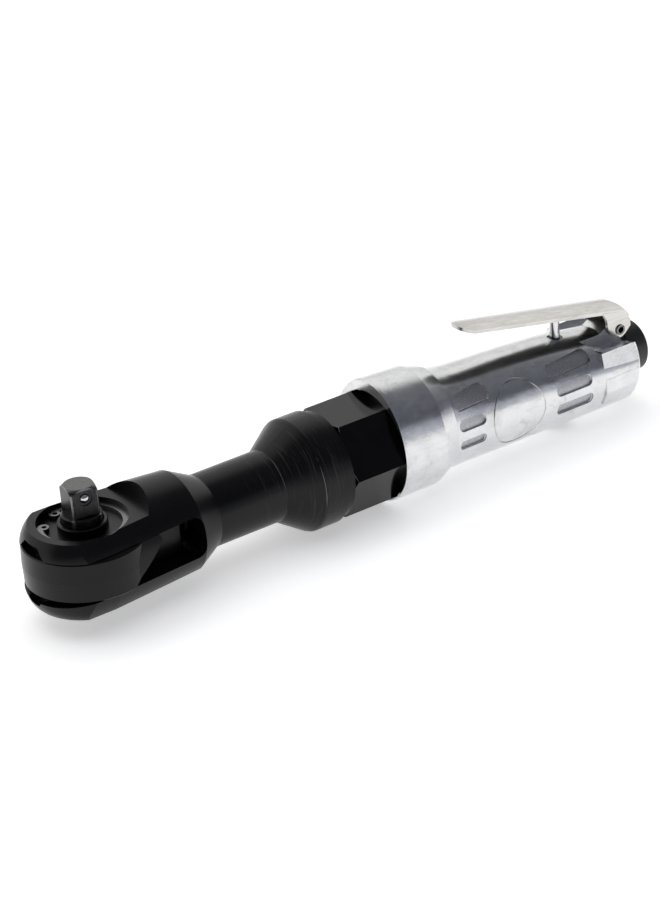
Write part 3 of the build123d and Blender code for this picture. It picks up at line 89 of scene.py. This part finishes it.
class Build:
    """A material's node tree with short calls for the nodes used here."""

    def __init__(self, name):
        self.material = bpy.data.materials.new(name)
        self.material.use_nodes = True
        self.tree = self.material.node_tree
        self.shader = self.tree.nodes["Principled BSDF"]
        self.place = self.node("ShaderNodeTexCoord").outputs["Object"]

    def node(self, kind, **values):
        made = self.tree.nodes.new(kind)
        for key, value in values.items():
            setattr(made, key, value)
        return made

    def join(self, source, target):
        if isinstance(source, (int, float, tuple)):
            target.default_value = source
        else:
            self.tree.links.new(source, target)

    def math(self, operation, *inputs):
        made = self.node("ShaderNodeMath", operation=operation)
        for value, socket in zip(inputs, made.inputs):
            self.join(value, socket)
        return made.outputs[0]

    def distance(self, value, middle):
        """How far a value is from the middle, either way."""
        return self.math("ABSOLUTE", self.math("SUBTRACT", value, middle))

    def parts(self):
        """The X, Y and Z of the place on the surface."""
        made = self.node("ShaderNodeSeparateXYZ")
        self.join(self.place, made.inputs[0])
        return made.outputs

    def rounded_box(self, across, up, x_from, x_to, low, high, corner):
        """Distance to a rounded box in a side view, negative inside it; the box is in mm."""
        reaches = []
        for value, start, end in ((across, x_from, x_to), (up, low, high)):
            offset = self.distance(value, (start + end) / 2 * MM)
            reaches.append(self.math("SUBTRACT", offset, ((end - start) / 2 - corner) * MM))
        outside = [self.math("MAXIMUM", reach, 0.0) for reach in reaches]
        squares = [self.math("MULTIPLY", reach, reach) for reach in outside]
        corner_way = self.math("SQRT", self.math("ADD", *squares))
        inner_way = self.math("MINIMUM", self.math("MAXIMUM", *reaches), 0.0)
        return self.math("SUBTRACT", self.math("ADD", corner_way, inner_way), corner * MM)

    def stretch(self, scale):
        made = self.node("ShaderNodeMapping")
        made.inputs["Scale"].default_value = scale
        self.join(self.place, made.inputs["Vector"])
        return made.outputs[0]

    def noise(self, scale, detail=3.0, rough=0.55, stretch=None, distortion=0.0):
        made = self.node("ShaderNodeTexNoise")
        self.join(self.stretch(stretch) if stretch else self.place, made.inputs["Vector"])
        made.inputs["Scale"].default_value = scale
        made.inputs["Detail"].default_value = detail
        made.inputs["Roughness"].default_value = rough
        made.inputs["Distortion"].default_value = distortion
        return made.outputs["Fac"]

    def spread(self, value, low, high, from_low=0.0, from_high=1.0):
        """Maps a value, held between from_low and from_high, to low and high."""
        made = self.node("ShaderNodeMapRange", clamp=True)
        for source, name in (
            (value, "Value"), (from_low, "From Min"), (from_high, "From Max"),
            (low, "To Min"), (high, "To Max"),
        ):
            self.join(source, made.inputs[name])
        return made.outputs["Result"]

    def colours(self, value, *stops):
        made = self.node("ShaderNodeValToRGB")
        fill_ramp(made.color_ramp, stops)
        self.join(value, made.inputs["Fac"])
        return made.outputs["Color"]

    def mix(self, share, first, second):
        made = self.node("ShaderNodeMix", data_type="RGBA")
        self.join(share, made.inputs[0])
        for source, socket in ((first, made.inputs[6]), (second, made.inputs[7])):
            self.join(opaque(source) if isinstance(source, tuple) else source, socket)
        return made.outputs[2]

    def bump(self, height, distance, strength=1.0, under=None):
        made = self.node("ShaderNodeBump")
        made.inputs["Strength"].default_value = strength
        made.inputs["Distance"].default_value = distance
        self.join(height, made.inputs["Height"])
        if under is not None:
            self.join(under, made.inputs["Normal"])
        return made.outputs["Normal"]

    def finish(self, colour, roughness, metallic, normal=None, specular=0.5):
        self.join(colour, self.shader.inputs["Base Color"])
        self.join(roughness, self.shader.inputs["Roughness"])
        self.shader.inputs["Metallic"].default_value = metallic
        self.shader.inputs["Specular IOR Level"].default_value = specular
        if normal is not None:
            self.join(normal, self.shader.inputs["Normal"])
        return self.material


# ---- materials: places and sizes on the object, in mm unless it says otherwise ----
TURNED_X = 74.0                     # middle of the head's stretch with turning marks
TURNED_REACH = (14.0, 18.0)         # distance from it over which the turning marks fade out
CONE_HIGHLIGHT_EDGES = (70.0, 81.0)         # both ends of the cone, where painted highlight lines go
RING_PITCH = 0.62                   # between turning rings

NUT_X = 93.5                        # front of the clamp nut
NUT_BEVEL_R = 18.13                 # radius where its front bevel starts
NUT_BEVEL_SLOPE = 1.667             # radius that the bevel gains for each mm along the tool

# Flank slots of the grip: from x, to x, lower edge, upper edge, over the tool axis.
FLANK_SLOTS = (
    (139.0, 154.8, 8.9, 14.2),
    (139.0, 150.6, 1.9, 6.0),
    (139.0, 150.2, -4.9, -1.4),
    (180.3, 200.4, 7.7, 11.6),
    (182.0, 198.0, 0.7, 4.9),
    (182.0, 198.4, -6.6, -2.3),
)
SLOT_ROUND = 0.45                   # a slot's corner radius, as a share of its height
SLOT_RIM = (-0.28, -0.12)           # inside a slot's outline, where its blasted floor starts
FLANK_Y = (8.0, 9.0)                # out from the middle plane, where the flanks start

SQUARE_TURN = radians(8)            # the square's turn about the drive axis
SQUARE_EDGE = (4.55, 4.95)          # from both middle planes, where the worn edges start
SQUARE_EDGE_WANDER = 0.8            # how far noise moves that start
SQUARE_END = (9.1, 9.6)             # height where the worn end starts


def height_over_axis(b, parts):
    return b.math("SUBTRACT", parts["Z"], AXIS_Z)


def black_steel():
    """Black oxide over turned steel, with faint turning rings along X, painted sheen on the turning
    marks, and painted highlight lines at both ends of the cone.
    """
    b = Build("black_steel")
    parts = b.parts()
    fade_from, fade_to = TURNED_REACH
    off_middle = b.distance(parts["X"], TURNED_X * MM)
    turned = b.spread(off_middle, 1, 0, fade_from * MM, fade_to * MM)
    rings = b.math("SINE", b.math("MULTIPLY", parts["X"], 2 * pi / (RING_PITCH * MM)))
    grain = b.noise(1100, 4, 0.6, (0.4, 1, 1))
    ridge = b.math("ADD", b.math("MULTIPLY", rings, b.math("MULTIPLY", turned, 1.6)), grain)
    cloud = b.noise(60, 3)
    # the turning marks are real; their lighter colour is painted sheen
    streaks = b.noise(2600, 3, 0.6, (1, 0.03, 0.03))
    turning_marks_and_sheen = b.math("MULTIPLY", b.spread(streaks, 0, 1, 0.57, 0.78), turned)
    colour = b.colours(cloud, (0.3, (0.0016, 0.0016, 0.0019)), (0.75, (0.0032, 0.0032, 0.0036)))
    colour = b.mix(turning_marks_and_sheen, colour, (0.035, 0.034, 0.033))
    # painted highlight: a light line round each end of the cone, in patches
    for edge in CONE_HIGHLIGHT_EDGES:
        off_edge = b.distance(parts["X"], edge * MM)
        highlight_line = b.math("MULTIPLY", b.spread(off_edge, 1, 0, 0.06 * MM, 0.13 * MM),
                      b.spread(cloud, 0, 1, 0.45, 0.6))
        colour = b.mix(highlight_line, colour, (0.14, 0.14, 0.135))
    normal = b.bump(ridge, 0.006 * MM)
    return b.finish(colour, b.spread(cloud, 0.22, 0.32), 0.0, normal, specular=0.24)


def black_gloss():
    """Glossy black nut, with painted highlights along its front bevel and on its front face, broken
    into patches.
    """
    b = Build("black_gloss")
    parts = b.parts()
    height = height_over_axis(b, parts)
    radius = b.math("SQRT", b.math("ADD", b.math("MULTIPLY", parts["Y"], parts["Y"]),
                                   b.math("MULTIPLY", height, height)))
    along_nut = b.math("SUBTRACT", parts["X"], NUT_X * MM)
    bevel = b.math("ADD", b.math("MULTIPLY", along_nut, NUT_BEVEL_SLOPE), NUT_BEVEL_R * MM)
    past = b.math("SUBTRACT", bevel, radius)
    # painted highlight: a thin light line along the front bevel, and the front face, in patches
    highlight_line = b.math("MULTIPLY", b.spread(past, 0, 1, 0.02 * MM, 0.06 * MM),
                  b.spread(past, 1, 0, 0.2 * MM, 0.3 * MM))
    front = b.spread(parts["X"], 1, 0, (NUT_X + 0.1) * MM, (NUT_X + 0.25) * MM)
    patchy = b.spread(b.noise(500, 3), 0, 1, 0.38, 0.52)
    wear_and_highlight = b.math("MULTIPLY", b.math("MAXIMUM", highlight_line, front), patchy)
    cloud = b.noise(120, 3)
    colour = b.colours(cloud, (0.3, (0.0013, 0.0013, 0.0016)), (0.8, (0.0026, 0.0026, 0.003)))
    colour = b.mix(wear_and_highlight, colour, (0.22, 0.21, 0.20))
    orange_peel = b.noise(1400, 2)
    normal = b.bump(orange_peel, 0.003 * MM)
    return b.finish(colour, b.spread(cloud, 0.10, 0.18), 0.0, normal, specular=0.26)


def slot_floors(b):
    """1 on the floors of the flank slots, and 0 elsewhere."""
    parts = b.parts()
    height = height_over_axis(b, parts)
    slots = None
    for x_from, x_to, low, high in FLANK_SLOTS:
        corner = SLOT_ROUND * (high - low)
        inside = b.rounded_box(parts["X"], height, x_from, x_to, low, high, corner)
        slots = inside if slots is None else b.math("MINIMUM", slots, inside)
    rim_from, rim_to = SLOT_RIM
    flank_from, flank_to = FLANK_Y
    out = b.math("ABSOLUTE", parts["Y"])
    return b.math("MULTIPLY", b.spread(slots, 1, 0, rim_from * MM, rim_to * MM),
                  b.spread(out, 0, 1, flank_from * MM, flank_to * MM))


def cast_alloy():
    """Polished casting: soft dents and fine scratches, blasted and darker in the flank slots."""
    b = Build("cast_alloy")
    floors = slot_floors(b)
    dents = b.noise(70, 2, 0.5)
    fine = b.noise(1500, 4, 0.65, (0.5, 1, 1))
    scratch = b.noise(2500, 2, 0.7, (0.06, 1, 1))
    pits = b.noise(1900, 5, 0.75)
    cloud = b.noise(160, 4)
    grime = b.noise(140, 6, 0.75, (0.6, 1, 1), 1.0)
    speck = b.noise(900, 4, 0.7)
    bright = b.colours(cloud, (0.25, (0.68, 0.685, 0.70)), (0.8, (0.80, 0.80, 0.805)))
    bright = b.mix(b.spread(grime, 0, 0.6, 0.5, 0.7), bright, (0.50, 0.49, 0.47))
    bright = b.mix(b.spread(speck, 0, 0.4, 0.55, 0.75), bright, (0.42, 0.42, 0.42))
    blasted = b.colours(pits, (0.3, (0.34, 0.34, 0.36)), (0.7, (0.62, 0.62, 0.64)))
    colour = b.mix(floors, bright, blasted)
    roughness = b.math("ADD", b.spread(cloud, 0.15, 0.30), b.math("MULTIPLY", floors, 0.24))
    normal = b.bump(dents, 0.16 * MM, 0.6)
    normal = b.bump(b.math("ADD", fine, scratch), 0.009 * MM, under=normal)
    normal = b.bump(b.math("MULTIPLY", pits, floors), 0.06 * MM, under=normal)
    return b.finish(colour, roughness, 1.0, normal)


def drive_steel():
    """Dark steel of the anvil, worn to a lighter grey along the square's edges and on its end."""
    b = Build("drive_steel")
    parts = b.parts()
    cosine, sine = cos(SQUARE_TURN), sin(SQUARE_TURN)
    along = b.math("SUBTRACT", b.math("MULTIPLY", parts["X"], cosine),
                   b.math("MULTIPLY", parts["Y"], sine))
    over = b.math("ADD", b.math("MULTIPLY", parts["X"], sine),
                  b.math("MULTIPLY", parts["Y"], cosine))
    corner = b.math("MINIMUM", b.math("ABSOLUTE", along), b.math("ABSOLUTE", over))
    rough = b.noise(900, 4, 0.7)
    edge_from, edge_to = SQUARE_EDGE
    ragged = b.math("ADD", corner, b.math("MULTIPLY", rough, SQUARE_EDGE_WANDER * MM))
    edges = b.spread(ragged, 0, 1, edge_from * MM, edge_to * MM)
    end_from, end_to = SQUARE_END
    end = b.spread(parts["Z"], 0, 1, end_from * MM, end_to * MM)
    wear_and_highlight = b.math("MAXIMUM", edges, b.math("MULTIPLY", end, b.spread(rough, 0.25, 0.8)))
    streak = b.noise(1600, 3, 0.7, (1, 1, 0.25))
    dark = b.colours(streak, (0.3, (0.022, 0.022, 0.023)), (0.75, (0.052, 0.052, 0.054)))
    colour = b.mix(wear_and_highlight, dark, (0.26, 0.255, 0.25))
    normal = b.bump(streak, 0.006 * MM)
    return b.finish(colour, b.spread(streak, 0.26, 0.40), 1.0, normal)


def lever_plate():
    """Plated pressing with long streaks and a few darker rub marks, and painted shade on its
    underside.
    """
    b = Build("lever_plate")
    streak = b.noise(900, 4, 0.7, (0.03, 1, 1))
    cloud = b.noise(110, 4, 0.6, (0.5, 1, 1))
    plate = b.colours(streak, (0.25, (0.56, 0.54, 0.51)), (0.75, (0.76, 0.74, 0.71)))
    colour = b.mix(b.spread(cloud, 0, 0.45, 0.45, 0.75), plate, (0.36, 0.34, 0.32))
    # painted shade: faces that look downwards are darkened
    facing = b.node("ShaderNodeSeparateXYZ")
    b.join(b.node("ShaderNodeTexCoord").outputs["Normal"], facing.inputs[0])
    under = b.spread(facing.outputs["Z"], 1, 0, -0.8, -0.5)
    colour = b.mix(under, colour, (0.05, 0.048, 0.045))
    roughness = b.math("ADD", b.spread(streak, 0.14, 0.26, 0.25, 0.75),
                       b.math("MULTIPLY", under, 0.3))
    normal = b.bump(streak, 0.008 * MM)
    normal = b.bump(cloud, 0.08 * MM, 0.6, normal)
    return b.finish(colour, roughness, 1.0, normal)


def plain_metal(name, dark, light, rough_low, rough_high, stretch=(1, 1, 1)):
    b = Build(name)
    streak = b.noise(2400, 3, 0.7, stretch)
    colour = b.colours(streak, (0.3, dark), (0.75, light))
    roughness = b.spread(streak, rough_low, rough_high, 0.25, 0.75)
    return b.finish(colour, roughness, 1.0, b.bump(streak, 0.004 * MM))


def soft_stuff(name, dark, light, rough, scale, depth):
    b = Build(name)
    grain = b.noise(scale, 4)
    colour = b.colours(grain, (0.35, dark), (0.7, light))
    return b.finish(colour, rough, 0.0, b.bump(grain, depth * MM))


# The dark and the light colour, the least and the greatest roughness, and any stretch of the grain.
PLAIN_METALS = {
    "dark_steel": ((0.022, 0.022, 0.022), (0.05, 0.05, 0.049), 0.26, 0.40),
    "bright_steel": ((0.62, 0.62, 0.63), (0.8, 0.8, 0.81), 0.08, 0.16),
    "ground_steel": ((0.12, 0.12, 0.12), (0.24, 0.24, 0.24), 0.25, 0.4, (1, 1, 0.05)),
    "spring_steel": ((0.16, 0.16, 0.16), (0.3, 0.3, 0.3), 0.25, 0.4),
    "bronze": ((0.45, 0.28, 0.12), (0.62, 0.42, 0.2), 0.25, 0.4),
    "steel_gauze": ((0.3, 0.3, 0.3), (0.5, 0.5, 0.5), 0.3, 0.4),
}
# The dark and the light colour, the roughness, and the grain's scale and depth in mm.
SOFT_STUFFS = {
    "black_plastic": ((0.008, 0.008, 0.008), (0.016, 0.016, 0.016), 0.42, 1800, 0.01),
    "vane_fibre": ((0.12, 0.07, 0.03), (0.2, 0.12, 0.06), 0.6, 1500, 0.01),
    "seal_rubber": ((0.01, 0.01, 0.01), (0.02, 0.02, 0.02), 0.7, 1500, 0.01),
    "felt": ((0.2, 0.2, 0.19), (0.35, 0.34, 0.32), 0.95, 2500, 0.1),
}


def dress_nodes():
    finishes = {
        "black_steel": black_steel(),
        "black_nut": black_gloss(),
        "cast_alloy": cast_alloy(),
        "stamped_steel": lever_plate(),
    }
    for name, looks in PLAIN_METALS.items():
        finishes[name] = plain_metal(name, *looks)
    for name, looks in SOFT_STUFFS.items():
        finishes[name] = soft_stuff(name, *looks)
    slots = {part["node"]: part["material_slot"] for part in frame["record"]["subparts"]}
    for name, thing in nodes.items():
        thing.data.materials.clear()
        thing.data.materials.append(finishes[slots[name]])
    nodes["anvil"].data.materials[0] = drive_steel()
    nodes["anvil_bushing"].data.materials[0] = finishes["dark_steel"]


# ---- studio -----------------------------------------------------------------
# Degrees up from the near horizon, over the top, to the far one; the colour there.
SKY_STOPS = (
    (0, (0.42, 0.42, 0.42)),
    (3, (0.27, 0.28, 0.31)),
    (18, (0.22, 0.23, 0.265)),
    (24, (0.045, 0.047, 0.055)),
    (50, (0.065, 0.068, 0.080)),
    (98, (0.085, 0.087, 0.094)),
    (108, (0.34, 0.34, 0.34)),
    (124, (0.50, 0.50, 0.495)),
    (150, (0.48, 0.48, 0.475)),
    (170, (0.41, 0.41, 0.41)),
    (180, (0.41, 0.41, 0.41)),
)
SKY_STRENGTH = 2.0
OVERHEAD_AT = Vector((0.1, 0.0, 1.3))
OVERHEAD_TOWARD = Vector((0.1, 0.0, 0.0))
OVERHEAD_SIZE = 1.6
OVERHEAD_WATTS = 9
FLOOR_REACH = 6.0
FLOOR_GAP = 0.2 * MM            # under the lowest point of the tool
FLOOR_GLOW = 0.45


def sky():
    """Bright sweep behind the tool, dark overhead, and a pale blue window on the near side."""
    world = bpy.data.worlds.new("studio")
    world.use_nodes = True
    tree = world.node_tree
    background = tree.nodes["Background"]
    place = tree.nodes.new("ShaderNodeTexCoord")
    parts = tree.nodes.new("ShaderNodeSeparateXYZ")
    away = tree.nodes.new("ShaderNodeMath")
    away.operation = "MULTIPLY"
    away.inputs[1].default_value = -1
    angle = tree.nodes.new("ShaderNodeMath")
    angle.operation = "ARCTAN2"
    share = tree.nodes.new("ShaderNodeMapRange")
    share.inputs["From Min"].default_value = 0
    share.inputs["From Max"].default_value = pi
    ramp = tree.nodes.new("ShaderNodeValToRGB")
    for source, target in (
        (place.outputs["Generated"], parts.inputs[0]), (parts.outputs["Y"], away.inputs[0]),
        (parts.outputs["Z"], angle.inputs[0]), (away.outputs[0], angle.inputs[1]),
        (angle.outputs[0], share.inputs["Value"]), (share.outputs["Result"], ramp.inputs["Fac"]),
        (ramp.outputs["Color"], background.inputs["Color"]),
    ):
        tree.links.new(source, target)
    fill_ramp(ramp.color_ramp, [(degrees_up / 180, colour) for degrees_up, colour in SKY_STOPS])
    background.inputs["Strength"].default_value = SKY_STRENGTH
    bpy.context.scene.world = world


def overhead():
    """Soft light from above that the polished parts don't mirror."""
    data = bpy.data.lights.new("overhead", "AREA")
    data.shape = "RECTANGLE"
    data.size = OVERHEAD_SIZE
    data.size_y = OVERHEAD_SIZE
    data.energy = OVERHEAD_WATTS
    light = bpy.data.objects.new("overhead", data)
    light.location = OVERHEAD_AT
    light.rotation_euler = (OVERHEAD_TOWARD - OVERHEAD_AT).to_track_quat("-Z", "Y").to_euler()
    bpy.context.scene.collection.objects.link(light)
    light.visible_glossy = False


def lay_floor():
    """White paper under the tool, lit a little from within so that it stays white."""
    mesh = bpy.data.meshes.new("floor")
    mesh.from_pydata([
        (-FLOOR_REACH, -FLOOR_REACH, 0), (FLOOR_REACH, -FLOOR_REACH, 0),
        (FLOOR_REACH, FLOOR_REACH, 0), (-FLOOR_REACH, FLOOR_REACH, 0),
    ], [], [(0, 1, 2, 3)])
    floor = bpy.data.objects.new("floor", mesh)
    floor.location.z = min(corner[2] for corner in cad_box) - FLOOR_GAP
    bpy.context.scene.collection.objects.link(floor)
    b = Build("floor")
    paper = b.colours(b.noise(300, 3), (0.2, (0.90, 0.90, 0.90)), (0.8, (0.93, 0.93, 0.93)))
    mesh.materials.append(b.finish(paper, 0.9, 0.0, specular=0.1))
    b.shader.inputs["Emission Color"].default_value = (1, 1, 1, 1)
    b.shader.inputs["Emission Strength"].default_value = FLOOR_GLOW


place_camera()
dress_nodes()
sky()
overhead()
lay_floor()
bpy.context.scene.view_settings.view_transform = "Standard"
